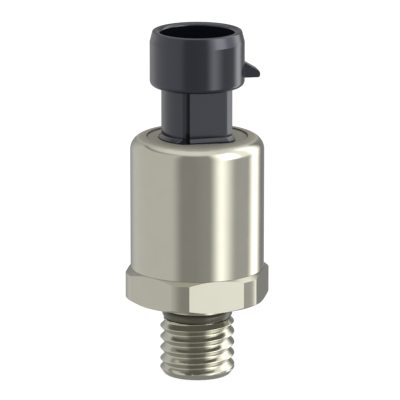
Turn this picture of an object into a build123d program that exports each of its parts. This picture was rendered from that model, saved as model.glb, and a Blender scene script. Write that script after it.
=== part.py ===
from build123d import *
from math import cos, radians, sin, sqrt, tan
import os

# Pressure transmitter with a threaded stud, a hexagon, a round can and a moulded socket.
# Millimetres, +Z up. The origin is on the axis, on the stud's end face. +X points at the
# latch ramp of the socket, and the two slots in the socket's neck face -Y and +Y.

# Stud: pipe thread G 1/4, drawn as its outer cylinder
thread_major_d = 13.157
stud_end_d = 11.7
stud_lead_in = 0.99
thread_end_z = 10.1
inlet_d = 3.5
inlet_mouth_d = 5.5
inlet_mouth_depth = 1.0

# Seal ring on the stud and the gland that holds it
stud_ring_section = 2.0
stud_gland_side_gap = 0.05
stud_gland_floor_d = 8.5
stud_shoulder_d = 12.4
stud_shoulder_height = 1.5

# Hexagon
hex_across_flats = 23.6
hex_corner_d = 25.6
hex_height = 5.7
hex_chamfer_angle = 30
hex_turn = 6.7

# Can
can_d = 23.534
can_wall = 0.8
can_height = 23.57
can_shoulder_radius = 2.415
can_land_width = 0.522
can_step_depth = 0.28
can_step_edge_radius = 0.12
can_hole_gap = 0.08

# Spigot and cup of the port
spigot_gap = 0.05
spigot_height = 7.2
cup_floor_web = 3.7
cup_gap = 0.1
pressure_recess_d = 10.0
pressure_recess_depth = 0.3

# Measuring cell and its seal
cell_d = 18.0
diaphragm_thickness = 0.6
glass_thickness = 0.1
glass_inner_d = 13.8
cell_body_thickness = 5.65
cell_notch_d = 2.0
cell_notch_count = 3
cell_seal_mean_d = 13.3
cell_seal_width = 2.0
cell_seal_height = 1.4
seal_side_gap = 0.05
squeezed_flank = 0.3

# Leads from the cell to the board
lead_d = 0.5
lead_hole_gap = 0.1
lead_spacing = 2.54
lead_count = 4
lead_blind_depth = 1.0
lead_ring_gap = 0.1

# Support ring and circlip over the cell
support_ring_inner_d = 13.6
support_ring_height = 1.0
circlip_thickness = 1.0
circlip_side_gap = 0.05
circlip_groove_depth = 0.6
circlip_ring_width = 1.5
circlip_opening = 40
circlip_lug_d = 2.2
circlip_hole_d = 1.0

# Board and its carrier
carrier_inner_d = 17.2
carrier_base = 1.5
carrier_gap = 0.15
board_d = 20.0
board_gap = 0.1
board_thickness = 1.2
board_edge_gap = 0.02

# Parts on the board: length, width, height
chip_size = (5.0, 4.4, 1.0)
chip_place = (6.0, 0.0)
chip_leg_count = 7
chip_leg_pitch = 0.65
chip_leg_width = 0.25
chip_leg_thickness = 0.15
chip_leg_reach = 1.0
chip_standoff = 0.1
regulator_size = (3.5, 2.6, 1.5)
regulator_place = (-5.9, 2.8)
regulator_leg_count = 3
regulator_leg_pitch = 1.2
regulator_leg_width = 0.45
regulator_leg_thickness = 0.2
regulator_leg_reach = 0.9
capacitor_size = (2.0, 1.25, 0.9)
capacitor_places = [(-6.2, -0.9), (-6.2, -2.9), (6.2, 4.4), (4.4, 6.6)]
resistor_size = (1.6, 0.8, 0.45)
resistor_places = [(-2.9, 5.2), (0.0, 5.2), (2.9, 5.2), (-3.0, -3.4), (0.0, -3.4), (3.0, -3.4)]
end_cap_length = 0.3
end_cap_wrap = 0.05

# Ground spring
spring_thickness = 0.2
spring_width = 2.0
spring_pad_length = 1.4
spring_pad_radius_in = 7.0
spring_rise = 1.2
spring_wall_gap = 0.03
spring_lip_height = 1.6
spring_bend_radius = 0.4

# Socket moulding inside the can
flange_gap = 0.2
flange_thickness = 4.67
flange_edge_radius = 1.9
skirt_wall = 1.0
window_width = 4.0
window_height = 3.6
connector_seal_mean_d = 17.1
connector_seal_width = 1.1
connector_seal_height = 1.0

# Foot and neck of the socket
foot_height = 0.22
foot_side_ledge = 0.6
foot_end_ledge = 0.45
foot_root_radius = 0.38
neck_height = 8.97
neck_barrel_d = 12.6
neck_flat_y = 5.25
neck_square_x = 5.6
neck_corner_radius = 1.75
neck_slot_x = -2.38
neck_slot_width = 0.72
neck_slot_depth = 0.95

# Collar of the socket
collar_d = 16.614
collar_height = 9.76
collar_taper_height = 1.96
collar_rim_d = 15.63
collar_bottom_radius = 0.94
collar_rim_radius = 0.3
socket_d = 13.0
socket_mouth_d = 13.5
socket_mouth_depth = 0.5
socket_floor_thickness = 0.86
well_d = 8.4
well_depth = 6.3
key_width = 1.6
key_depth = 0.7
key_height = 4.1

# Latch ramp
latch_width = 3.0
latch_reach = 10.94
latch_under_height = 1.29
latch_root_height = 2.66
latch_nose_height = 1.1
latch_tip_radius = 0.45
latch_crown_radius = 0.8

# Terminals
terminal_circle_d = 6.0
terminal_width = 1.5
terminal_thickness = 0.8
terminal_height = 4.1
terminal_tip_length = 1.2
terminal_tip_width = 0.6
terminal_shoulder_width = 2.4
terminal_shoulder_length = 2.0
terminal_shoulder_depth = 3.0
terminal_tail_width = 0.8
terminal_tail_below_board = 0.6
terminal_fit = 0.02
terminal_angles = {"supply_terminal": 60, "signal_terminal": 180, "ground_terminal": 300}

# Heights and radii that follow from the sizes above
stud_gland_width = stud_ring_section + 2 * stud_gland_side_gap
stud_gland_top_z = thread_end_z + stud_gland_width
hex_bottom_z = stud_gland_top_z + stud_shoulder_height
hex_top_z = hex_bottom_z + hex_height
can_top_z = hex_top_z + can_height
can_inner_d = can_d - 2 * can_wall
can_roof_z = can_top_z - can_wall
can_step_z = can_top_z - can_step_depth
can_step_d = can_d - 2 * (can_shoulder_radius + can_land_width)
spigot_d = can_inner_d - 2 * spigot_gap
spigot_top_z = hex_top_z + spigot_height
cup_d = cell_d + 2 * cup_gap
cup_floor_z = hex_bottom_z + cup_floor_web
glass_z = cup_floor_z + diaphragm_thickness
cell_body_z = glass_z + glass_thickness
cell_top_z = cell_body_z + cell_body_thickness
lead_row_half = (lead_count - 1) / 2 * lead_spacing
lead_row_r = (support_ring_inner_d - lead_d) / 2 - lead_ring_gap
lead_row_y = -sqrt(lead_row_r**2 - lead_row_half**2)
support_top_z = cell_top_z + support_ring_height
groove_height = circlip_thickness + 2 * circlip_side_gap
groove_d = cup_d + 2 * circlip_groove_depth
carrier_d = can_inner_d - 2 * carrier_gap
board_z = spigot_top_z + carrier_base
board_top_z = board_z + board_thickness
flange_d = can_inner_d - 2 * flange_gap
flange_z = can_roof_z - flange_thickness
skirt_inner_d = flange_d - 2 * skirt_wall
foot_top_z = can_step_z + foot_height
collar_bottom_z = can_top_z + neck_height
collar_top_z = collar_bottom_z + collar_height
collar_taper_z = collar_top_z - collar_taper_height
socket_floor_z = collar_bottom_z + socket_floor_thickness
well_floor_z = socket_floor_z - well_depth
terminal_top_z = socket_floor_z + terminal_height
latch_under_z = collar_bottom_z + latch_under_height
latch_root_z = latch_under_z + latch_root_height
foot_ring_d = neck_barrel_d + 2 * foot_end_ledge
foot_flat_y = neck_flat_y + foot_side_ledge
foot_square_x = neck_square_x + foot_end_ledge
foot_corner_radius = neck_corner_radius + foot_end_ledge


def lathe(points, rounds=()):
    """A closed outline of (radius, height) points turned about the axis, with some corners rounded."""
    profile = make_face(Polyline(*points, close=True))
    for corner, radius in rounds:
        vertex = profile.vertices().sort_by_distance((corner[0], corner[1], 0))[0]
        profile = fillet(vertex, radius)
    return revolve(Plane.XZ * profile, Axis.Z)


def ring(outer_d, inner_d, bottom_z, height):
    """A flat ring about the axis."""
    outline = Circle(outer_d / 2) - Circle(inner_d / 2)
    return extrude(Plane.XY.offset(bottom_z) * outline, height)


def disc(diameter, bottom_z, height):
    """A round disc about the axis."""
    return extrude(Plane.XY.offset(bottom_z) * Circle(diameter / 2), height)


def squeezed_ring(mean_d, width, height, bottom_z):
    """A rubber ring pressed flat between two faces, with flanks that bulge to its full width."""
    half = width / 2
    flat = half - squeezed_flank
    middle = mean_d / 2
    middle_z = bottom_z + height / 2
    return lathe([
        (middle - flat, bottom_z),
        (middle + flat, bottom_z),
        (middle + half, middle_z),
        (middle + flat, bottom_z + height),
        (middle - flat, bottom_z + height),
        (middle - half, middle_z),
    ])


def lead_points():
    """Places of the cell's leads, in a row."""
    return [(index * lead_spacing - lead_row_half, lead_row_y) for index in range(lead_count)]


def terminal_places():
    """Each terminal's name with its place on the terminal circle."""
    radius = terminal_circle_d / 2
    return {
        name: (radius * cos(radians(angle)), radius * sin(radians(angle)))
        for name, angle in terminal_angles.items()
    }


def hexagon():
    """The hexagon with its turned corners, chamfered at its top and its bottom."""
    corner_r = hex_corner_d / 2
    seat_r = can_d / 2
    chamfer_height = (corner_r - seat_r) * tan(radians(hex_chamfer_angle))
    flats = RegularPolygon(hex_across_flats / 2, 6, major_radius=False)
    prism = extrude(Plane.XY.offset(hex_bottom_z) * (Rot(0, 0, hex_turn) * flats), hex_height)
    turned = lathe([
        (0, hex_bottom_z),
        (seat_r, hex_bottom_z),
        (corner_r, hex_bottom_z + chamfer_height),
        (corner_r, hex_top_z - chamfer_height),
        (seat_r, hex_top_z),
        (0, hex_top_z),
    ])
    return prism & turned


def process_port():
    """Stud, gland, hexagon, spigot and cup, turned from one bar."""
    stud_r = thread_major_d / 2
    stud = lathe([
        (0, 0),
        (stud_end_d / 2, 0),
        (stud_r, stud_lead_in),
        (stud_r, thread_end_z),
        (stud_gland_floor_d / 2, thread_end_z),
        (stud_gland_floor_d / 2, stud_gland_top_z),
        (stud_shoulder_d / 2, stud_gland_top_z),
        (stud_shoulder_d / 2, hex_bottom_z),
        (0, hex_bottom_z),
    ])
    spigot = disc(spigot_d, hex_top_z, spigot_height)
    cup = disc(cup_d, cup_floor_z, spigot_top_z - cup_floor_z)
    gland_width = cell_seal_width + 2 * seal_side_gap
    gland = ring(
        cell_seal_mean_d + gland_width,
        cell_seal_mean_d - gland_width,
        cup_floor_z - cell_seal_height,
        cell_seal_height,
    )
    groove = disc(groove_d, support_top_z, groove_height)
    recess = disc(
        pressure_recess_d, cup_floor_z - pressure_recess_depth, pressure_recess_depth
    )
    inlet = lathe([
        (0, 0),
        (inlet_mouth_d / 2, 0),
        (inlet_d / 2, inlet_mouth_depth),
        (inlet_d / 2, cup_floor_z),
        (0, cup_floor_z),
    ])
    return stud + hexagon() + spigot - cup - gland - groove - recess - inlet


def stud_o_ring():
    """Round rubber ring that seats on the floor of the stud's gland."""
    centre_r = (stud_gland_floor_d + stud_ring_section) / 2
    centre_z = thread_end_z + stud_gland_width / 2
    section = Plane.XZ * Pos(centre_r, centre_z) * Circle(stud_ring_section / 2)
    return revolve(section, Axis.Z)


def housing_can():
    """Deep-drawn can with a rounded shoulder, a shallow step and a keyed hole for the socket."""
    outer_r = can_d / 2
    inner_r = can_inner_d / 2
    step_r = can_step_d / 2
    shell = lathe(
        [
            (inner_r, hex_top_z),
            (outer_r, hex_top_z),
            (outer_r, can_top_z),
            (step_r, can_top_z),
            (step_r, can_step_z),
            (0, can_step_z),
            (0, can_roof_z),
            (inner_r, can_roof_z),
        ],
        [
            ((outer_r, can_top_z), can_shoulder_radius),
            ((inner_r, can_roof_z), can_shoulder_radius - can_wall),
            ((step_r, can_top_z), can_step_edge_radius),
        ],
    )
    hole = extrude(Plane.XY.offset(can_roof_z) * foot_outline(can_hole_gap), can_wall)
    return shell - hole


def cell_seal():
    """Rubber ring squeezed between the floor of its gland and the diaphragm."""
    return squeezed_ring(
        cell_seal_mean_d, cell_seal_width, cell_seal_height, cup_floor_z - cell_seal_height
    )


def ceramic_diaphragm():
    """Thin ceramic disc that lies on the cup floor."""
    return disc(cell_d, cup_floor_z, diaphragm_thickness)


def glass_bond_ring():
    """Fired glass between the diaphragm and the cell body, open in the middle."""
    return ring(cell_d, glass_inner_d, glass_z, glass_thickness)


def ceramic_cell_body():
    """Thick ceramic disc with notches in its rim and blind holes for the leads."""
    body = disc(cell_d, cell_body_z, cell_body_thickness)
    notch = disc(cell_notch_d, cell_body_z, cell_body_thickness)
    for index in range(cell_notch_count):
        turn = 90 + index * 360 / cell_notch_count
        body -= Rot(0, 0, turn) * Pos(cell_d / 2, 0, 0) * notch
    hole_d = lead_d + lead_hole_gap
    for x, y in lead_points():
        body -= Pos(x, y) * disc(hole_d, cell_top_z - lead_blind_depth, lead_blind_depth)
    return body


def cell_leads():
    """Round leads that stand in the cell body and pass through the board."""
    bottom_z = cell_top_z - lead_blind_depth
    height = board_top_z + lead_d - bottom_z
    return [Pos(x, y) * disc(lead_d, bottom_z, height) for x, y in lead_points()]


def cell_support_ring():
    """Plastic ring on the back of the cell."""
    return ring(cell_d, support_ring_inner_d, cell_top_z, support_ring_height)


def cell_circlip():
    """Open spring ring in the groove of the cup, with two lugs for its pliers."""
    outer_r = groove_d / 2 - circlip_side_gap
    inner_r = outer_r - circlip_ring_width
    lug_r = (cup_d - circlip_lug_d) / 2 - cup_gap
    half_opening = radians(circlip_opening / 2)
    reach = 2 * outer_r
    outline = Circle(outer_r) - Circle(inner_r)
    opening = Polygon(
        (0, 0),
        (reach * cos(half_opening), reach * sin(half_opening)),
        (reach * cos(half_opening), -reach * sin(half_opening)),
        align=None,
    )
    outline -= opening
    for side in (-1, 1):
        angle = side * (half_opening + circlip_lug_d / 2 / lug_r)
        place = Pos(lug_r * cos(angle), lug_r * sin(angle))
        outline += place * Circle(circlip_lug_d / 2)
        outline -= place * Circle(circlip_hole_d / 2)
    bottom_z = support_top_z
    return extrude(Plane.XY.offset(bottom_z) * (Rot(0, 0, 90) * outline), circlip_thickness)


def board_carrier():
    """Plastic ring on the spigot, with a rim round the board."""
    base = ring(carrier_d, carrier_inner_d, spigot_top_z, carrier_base)
    rim_inner_d = board_d + 2 * board_gap
    rim = ring(carrier_d, rim_inner_d, board_z, board_thickness)
    return base + rim


def circuit_board():
    """Round board with holes for the leads and for the terminal tails."""
    board = disc(board_d, board_z, board_thickness)
    for x, y in lead_points():
        board -= Pos(x, y) * disc(lead_d + lead_hole_gap, board_z, board_thickness)
    slot = Rectangle(
        terminal_thickness + 2 * lead_hole_gap, terminal_tail_width + 2 * lead_hole_gap
    )
    for x, y in terminal_places().values():
        board -= extrude(Plane.XY.offset(board_z) * (Pos(x, y) * slot), board_thickness)
    return board


def legs(size, count, pitch, width, thickness, reach, sides):
    """Gull-wing legs of a chip, from half its height down to the board and outwards."""
    edge = size[1] / 2
    knee_z = board_top_z + chip_standoff + size[2] / 2
    out = edge + reach
    shape = None
    path = Polyline(
        (edge - thickness, knee_z),
        (edge + reach / 3, knee_z),
        (edge + reach / 2, board_top_z + thickness / 2),
        (out, board_top_z + thickness / 2),
    )
    strip = make_face(offset(path, thickness / 2, side=Side.BOTH))
    for index in range(count):
        x = (index - (count - 1) / 2) * pitch
        leg = extrude(Plane.YZ.offset(x) * strip, width / 2, both=True)
        for side in sides:
            turned = Rot(0, 0, 0 if side > 0 else 180) * leg
            shape = turned if shape is None else shape + turned
    return shape


def chip_body(size):
    """Moulded chip body with drafted sides."""
    length, depth, height = size
    draft = 0.08 * height
    bottom_z = board_top_z + chip_standoff
    middle = Plane.XY.offset(bottom_z + height / 2) * Rectangle(length, depth)
    top = Plane.XY.offset(bottom_z + height) * Rectangle(length - 2 * draft, depth - 2 * draft)
    bottom = Plane.XY.offset(bottom_z) * Rectangle(length - 2 * draft, depth - 2 * draft)
    return loft([bottom, middle]) + loft([middle, top])


def signal_chip():
    """Signal conditioner with a row of legs on both long sides."""
    sides = (-1, 1)
    feet = legs(
        chip_size, chip_leg_count, chip_leg_pitch, chip_leg_width,
        chip_leg_thickness, chip_leg_reach, sides,
    )
    return Pos(*chip_place) * Rot(0, 0, 90) * (chip_body(chip_size) + feet)


def voltage_regulator():
    """Regulator with three legs on one side and a wide tab on the other."""
    feet = legs(
        regulator_size, regulator_leg_count, regulator_leg_pitch, regulator_leg_width,
        regulator_leg_thickness, regulator_leg_reach, (1,),
    )
    tab = legs(
        regulator_size, 1, 0, regulator_size[0] / 2,
        regulator_leg_thickness, regulator_leg_reach, (-1,),
    )
    return Pos(*regulator_place) * Rot(0, 0, 90) * (chip_body(regulator_size) + feet + tab)


def chip_parts(size, places):
    """Small two-ended parts: a block with a plated cap round each end."""
    length, depth, height = size
    on_board = (Align.CENTER, Align.CENTER, Align.MIN)
    block = Pos(0, 0, end_cap_wrap) * Box(length, depth, height, align=on_board)
    cap = Box(end_cap_length, depth + 2 * end_cap_wrap, height + 2 * end_cap_wrap, align=on_board)
    shift = (length - end_cap_length) / 2 + end_cap_wrap
    part = block + Pos(shift, 0) * cap + Pos(-shift, 0) * cap
    return [Pos(x, y, board_top_z) * part for x, y in places]


def board_capacitors():
    """Four ceramic capacitors."""
    return chip_parts(capacitor_size, capacitor_places)


def board_resistors():
    """Six flat resistors."""
    return chip_parts(resistor_size, resistor_places)


def ground_spring():
    """Bent strip from its pad on the board, out through a window of the skirt, to the can."""
    half = spring_thickness / 2
    edge_r = sqrt((can_inner_d / 2) ** 2 - (spring_width / 2) ** 2)
    wall_r = edge_r - spring_wall_gap - half
    pad_z = board_top_z + half
    arm_z = pad_z + spring_rise
    path = FilletPolyline(
        (spring_pad_radius_in, pad_z),
        (spring_pad_radius_in + spring_pad_length, pad_z),
        (spring_pad_radius_in + spring_pad_length, arm_z),
        (wall_r, arm_z),
        (wall_r, arm_z + spring_lip_height),
        radius=spring_bend_radius,
    )
    strip = make_face(offset(path, half, side=Side.BOTH))
    return extrude(Plane.YZ * strip, spring_width / 2, both=True)


def square_half(square_x, flat_y, corner_radius, back_x):
    """Outline of the +X half: square, with two rounded corners."""
    width = square_x - back_x
    outline = Pos(back_x + width / 2, 0) * Rectangle(width, 2 * flat_y)
    return fillet(outline.vertices().sort_by(Axis.X)[-2:], corner_radius)


def barrel_half(diameter, flat_y):
    """Outline of the -X half: round, cut by the two flats."""
    flats = Pos(-diameter / 2, 0) * Rectangle(diameter, 2 * flat_y)
    return Circle(diameter / 2) & flats


def foot_outline(gap=0.0):
    """Outline of the foot, which also keys the hole in the can."""
    flat_y = foot_flat_y + gap
    square = square_half(foot_square_x + gap, flat_y, foot_corner_radius + gap, 0)
    return square + barrel_half(foot_ring_d + 2 * gap, flat_y)


def socket_inside():
    """Flange and skirt of the socket moulding, hidden in the can."""
    flange_r = flange_d / 2
    flange = lathe(
        [(0, flange_z), (flange_r, flange_z), (flange_r, can_roof_z), (0, can_roof_z)],
        [((flange_r, can_roof_z), flange_edge_radius)],
    )
    skirt_bottom_z = board_top_z + board_edge_gap
    skirt = ring(flange_d, skirt_inner_d, skirt_bottom_z, flange_z - skirt_bottom_z)
    window = Pos(0, 0, skirt_bottom_z + window_height / 2) * Box(
        window_width, 2 * flange_d, window_height
    )
    gland_width = connector_seal_width + 2 * seal_side_gap
    gland = ring(
        connector_seal_mean_d + gland_width,
        connector_seal_mean_d - gland_width,
        can_roof_z - connector_seal_height,
        connector_seal_height,
    )
    return flange + (skirt - window) - gland


def socket_neck():
    """Foot and neck: a square half on a plinth and a round half on a ring, with rounded roots."""
    barrel_r = neck_barrel_d / 2
    ring_r = foot_ring_d / 2
    back_x = -sqrt(barrel_r**2 - neck_flat_y**2)
    plinth = square_half(foot_square_x, foot_flat_y, foot_corner_radius, back_x)
    column = square_half(neck_square_x, neck_flat_y, neck_corner_radius, back_x)
    foot_plane = Plane.XY.offset(can_roof_z)
    neck_plane = Plane.XY.offset(foot_top_z)
    foot_depth = foot_top_z - can_roof_z
    column_height = collar_bottom_z - foot_top_z
    square = extrude(foot_plane * plinth, foot_depth)
    square += extrude(neck_plane * column, column_height)
    root_edges = [
        edge for edge in square.edges()
        if abs(edge.center().Z - foot_top_z) < 1e-3 and inside_column(edge)
    ]
    square = fillet(root_edges, foot_root_radius)
    ring_foot = extrude(foot_plane * barrel_half(foot_ring_d, foot_flat_y), foot_depth)
    turned = lathe(
        [
            (0, can_roof_z),
            (ring_r, can_roof_z),
            (ring_r, foot_top_z),
            (barrel_r, foot_top_z),
            (barrel_r, collar_bottom_z),
            (0, collar_bottom_z),
        ],
        [((barrel_r, foot_top_z), foot_root_radius)],
    )
    between_flats = extrude(
        foot_plane * barrel_half(foot_ring_d, neck_flat_y), collar_bottom_z - can_roof_z
    )
    return square + ring_foot + (turned & between_flats)


def inside_column(edge):
    """True for an edge of the neck's square half, not of the plinth under it."""
    box = edge.bounding_box()
    reach = 1e-3
    between_flats = max(box.max.Y, -box.min.Y) < neck_flat_y + reach
    return between_flats and box.max.X < neck_square_x + reach


def socket_collar():
    """Round collar with a tapered rim."""
    outer_r = collar_d / 2
    return lathe(
        [
            (0, collar_bottom_z),
            (outer_r, collar_bottom_z),
            (outer_r, collar_taper_z),
            (collar_rim_d / 2, collar_top_z),
            (0, collar_top_z),
        ],
        [
            ((outer_r, collar_bottom_z), collar_bottom_radius),
            ((collar_rim_d / 2, collar_top_z), collar_rim_radius),
        ],
    )


def socket_bore():
    """Hollow of the socket: the mating plug's bore and the narrower well round the terminals."""
    mouth_z = collar_top_z - socket_mouth_depth
    return lathe([
        (0, well_floor_z),
        (well_d / 2, well_floor_z),
        (well_d / 2, socket_floor_z),
        (socket_d / 2, socket_floor_z),
        (socket_d / 2, mouth_z),
        (socket_mouth_d / 2, collar_top_z),
        (0, collar_top_z),
    ])


def socket_key():
    """Rib in the bore that lets the plug in one way round."""
    inner_x = socket_d / 2 - key_depth
    outer_x = (socket_d + collar_d) / 4
    rib = Box(
        outer_x - inner_x, key_width, key_height, align=(Align.MAX, Align.CENTER, Align.MIN)
    )
    return Pos(-inner_x, 0, socket_floor_z) * rib


def latch_ramp():
    """Ramp that the plug's latch snaps over, with a flat underside and a round nose."""
    root_x = (socket_d + collar_d) / 4
    nose_z = latch_under_z + latch_nose_height
    slope = make_face(
        Polyline(
            (root_x, latch_under_z),
            (latch_reach, latch_under_z),
            (latch_reach, nose_z),
            (collar_d / 2, latch_root_z),
            (root_x, latch_root_z),
            close=True,
        )
    )
    for corner_z, radius in ((latch_under_z, latch_tip_radius), (nose_z, latch_crown_radius)):
        vertex = slope.vertices().sort_by_distance((latch_reach, corner_z, 0))[0]
        slope = fillet(vertex, radius)
    return extrude(Plane.XZ * slope, latch_width / 2, both=True)


def neck_slots():
    """Narrow slots down both flats of the neck, through the foot to the can."""
    upright = (Align.CENTER, Align.CENTER, Align.MIN)
    height = collar_bottom_z - can_step_z
    foot_slot_height = foot_height + foot_root_radius
    slot = Box(neck_slot_width, 2 * neck_slot_depth, height, align=upright)
    foot_slot = Box(neck_slot_width, 2 * foot_side_ledge, foot_slot_height, align=upright)
    cut = None
    for side in (-1, 1):
        pair = Pos(neck_slot_x, side * neck_flat_y, can_step_z) * slot
        pair += Pos(neck_slot_x, side * foot_flat_y, can_step_z) * foot_slot
        cut = pair if cut is None else cut + pair
    return cut


def terminal_shape():
    """Outline of a terminal in its own plane, from the tail in the board to the tip."""
    half = terminal_width / 2
    tip = terminal_tip_width / 2
    shoulder = terminal_shoulder_width / 2
    tail = terminal_tail_width / 2
    shoulder_top_z = well_floor_z - terminal_shoulder_depth
    shoulder_bottom_z = shoulder_top_z - terminal_shoulder_length
    tail_z = board_z - terminal_tail_below_board
    right = [
        (tail, tail_z),
        (tail, shoulder_bottom_z),
        (shoulder, shoulder_bottom_z),
        (shoulder, shoulder_top_z),
        (half, shoulder_top_z),
        (half, terminal_top_z - terminal_tip_length),
        (tip, terminal_top_z),
    ]
    left = [(-x, z) for x, z in reversed(right)]
    return make_face(Polyline(*right, *left, close=True))


def terminal(name, gap=0.0):
    """One blade terminal, stamped from flat strip."""
    x, y = terminal_places()[name]
    shape = terminal_shape()
    if gap:
        shape = offset(shape, gap, kind=Kind.INTERSECTION)
    blade = extrude(Plane.YZ * shape, terminal_thickness / 2 + gap, both=True)
    return Pos(x, y, 0) * blade


def connector_body():
    """Socket moulding in one piece, from the skirt in the can to the collar's rim."""
    moulding = socket_inside() + (socket_neck() - neck_slots()) + socket_collar() + latch_ramp()
    moulding = moulding - socket_bore() + socket_key()
    for name in terminal_angles:
        moulding -= terminal(name, terminal_fit)
    return moulding


def connector_seal():
    """Rubber ring squeezed between the flange and the can's top."""
    return squeezed_ring(
        connector_seal_mean_d,
        connector_seal_width,
        connector_seal_height,
        can_roof_z - connector_seal_height,
    )


def nodes():
    """Every piece with its name."""
    pieces = {
        "process_port": process_port(),
        "stud_o_ring": stud_o_ring(),
        "housing_can": housing_can(),
        "cell_seal": cell_seal(),
        "ceramic_diaphragm": ceramic_diaphragm(),
        "glass_bond_ring": glass_bond_ring(),
        "ceramic_cell_body": ceramic_cell_body(),
        "cell_leads": cell_leads(),
        "cell_support_ring": cell_support_ring(),
        "cell_circlip": cell_circlip(),
        "board_carrier": board_carrier(),
        "circuit_board": circuit_board(),
        "signal_chip": signal_chip(),
        "voltage_regulator": voltage_regulator(),
        "board_capacitors": board_capacitors(),
        "board_resistors": board_resistors(),
        "ground_spring": ground_spring(),
        "connector_body": connector_body(),
        "connector_seal": connector_seal(),
    }
    for name in terminal_angles:
        pieces[name] = terminal(name)
    return pieces


os.makedirs("parts", exist_ok=True)
for node, shape in nodes().items():
    if isinstance(shape, list):
        shape = Compound(children=[Part() + piece for piece in shape])
    export_step(shape, f"parts/{node}.step")
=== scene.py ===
from math import acos, atan2, ceil, cos, degrees, pi, radians, sin, sqrt, tan

import bmesh
import bpy
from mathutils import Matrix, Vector


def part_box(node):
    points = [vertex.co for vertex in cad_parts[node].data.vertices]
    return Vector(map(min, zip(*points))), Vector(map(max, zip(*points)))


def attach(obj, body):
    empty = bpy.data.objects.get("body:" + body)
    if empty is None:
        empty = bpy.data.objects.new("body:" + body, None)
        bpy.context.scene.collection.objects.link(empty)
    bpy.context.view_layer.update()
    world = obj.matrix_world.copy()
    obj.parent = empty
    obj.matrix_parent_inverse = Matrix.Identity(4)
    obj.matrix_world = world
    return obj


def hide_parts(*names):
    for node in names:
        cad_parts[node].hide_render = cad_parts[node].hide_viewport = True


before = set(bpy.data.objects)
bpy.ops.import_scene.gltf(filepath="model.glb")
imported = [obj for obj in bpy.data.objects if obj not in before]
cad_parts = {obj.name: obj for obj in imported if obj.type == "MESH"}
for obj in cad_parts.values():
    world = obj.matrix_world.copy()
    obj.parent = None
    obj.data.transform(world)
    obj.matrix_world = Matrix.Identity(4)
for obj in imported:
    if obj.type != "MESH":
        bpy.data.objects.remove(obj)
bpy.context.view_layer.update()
MM = 0.001

# Sizes across are measured from the axis, and heights from the stud's end face.

# Camera, read from the photograph: the axis of the object shows a little left of the middle
CAMERA_AZIMUTH = radians(-10.0)
CAMERA_ELEVATION = radians(13.796)
CAMERA_DISTANCE = 749.4 * MM
CAMERA_LENS = 383.7
CAMERA_SENSOR = 36.0
CAMERA_NEAR = 0.01
CAMERA_FAR = 20.0
LOOK_HEIGHT = 31.28 * MM
LOOK_RIGHT = 0.483 * MM

# Stud and gland. The thread's groove starts on a slope above the lead-in and ends in a run-out.
THREAD_CREST = 6.5785 * MM
THREAD_ROOT = 5.7225 * MM
THREAD_PITCH = 2.0 * MM
THREAD_END = 10.1 * MM
THREAD_RUN_OUT = 0.75 * MM
RUN_IN_SLOPE = 1.1
RUN_IN_BLEND = 0.12 * MM
CREST_ROUND = 0.16 * MM
ROOT_ROUND = 0.22 * MM
FIRST_CREST_TURN = 0.212
END_FACE = 5.85 * MM
LEAD_IN = 0.99 * MM
GLAND_FLOOR = 4.25 * MM
GLAND_TOP = 11.9 * MM
STUD_SHOULDER = 6.2 * MM
RING_SECTION = 0.9 * MM
INLET = 1.75 * MM
INLET_MOUTH = 2.75 * MM
INLET_MOUTH_DEPTH = 1.0 * MM

# Hexagon and the spigot and cup above it
HEX_APOTHEM = 11.8 * MM
HEX_CORNER = 12.8 * MM
HEX_BOTTOM = 13.7 * MM
HEX_TOP = 19.4 * MM
HEX_TURN = radians(6.7)
HEX_CHAMFER = radians(30)
SPIGOT = 10.917 * MM
SPIGOT_TOP = 26.6 * MM
CUP = 9.1 * MM
CUP_FLOOR = 17.4 * MM
CUP_RECESS = 5.0 * MM
CUP_RECESS_DEPTH = 0.3 * MM

# Can, with its step and the land round it, which is grey up to one radius and matt to another
CAN = 11.767 * MM
CAN_WALL = 0.8 * MM
CAN_TOP = 42.97 * MM
CAN_FOOT_ROUND = 0.06 * MM
CAN_SHOULDER = 2.415 * MM
CAN_STEP = 8.83 * MM
CAN_STEP_DEPTH = 0.28 * MM
CAN_STEP_ROUND = 0.12 * MM
HOLE_GAP = 0.08 * MM
LAND_EDGE = 10.1 * MM
LAND_END = 10.5 * MM
LAND_MATT_EDGE = 10.2 * MM
LAND_MATT_END = 11.1 * MM
LAND_ROUGHNESS = 0.6
LAND_MATT_SHARE = 0.85
# Width, inner gap and darkness of a painted shade in the corner at the foot of the can's step
LAND_SHADE_WIDTH = 0.16 * MM
LAND_SHADE_GAP = 0.001 * MM
LAND_PAINTED_SHADE = 0.45

# Foot and neck of the socket
FOOT_RING = 6.75 * MM
FOOT_FLAT = 5.85 * MM
FOOT_SQUARE = 6.05 * MM
FOOT_CORNER = 2.2 * MM
FOOT_TOP = 42.91 * MM
FLARE = 0.4 * MM
FLARE_TOP = 43.4 * MM
FLARE_ROUND = 0.5 * MM
NECK_BARREL = 6.3 * MM
NECK_FLAT = 5.25 * MM
NECK_SQUARE = 5.6 * MM
NECK_CHAMFER = 1.25 * MM
NECK_EDGE_ROUND = 0.4 * MM
NECK_MIDDLE = 0.6 * MM
NECK_OVERLAP = 0.4 * MM
NECK_CLOSING = radians(4.3)
SLOT_X = -2.62 * MM
SLOT_WIDTH = 0.72 * MM
SLOT_DEPTH = 1.25 * MM

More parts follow.
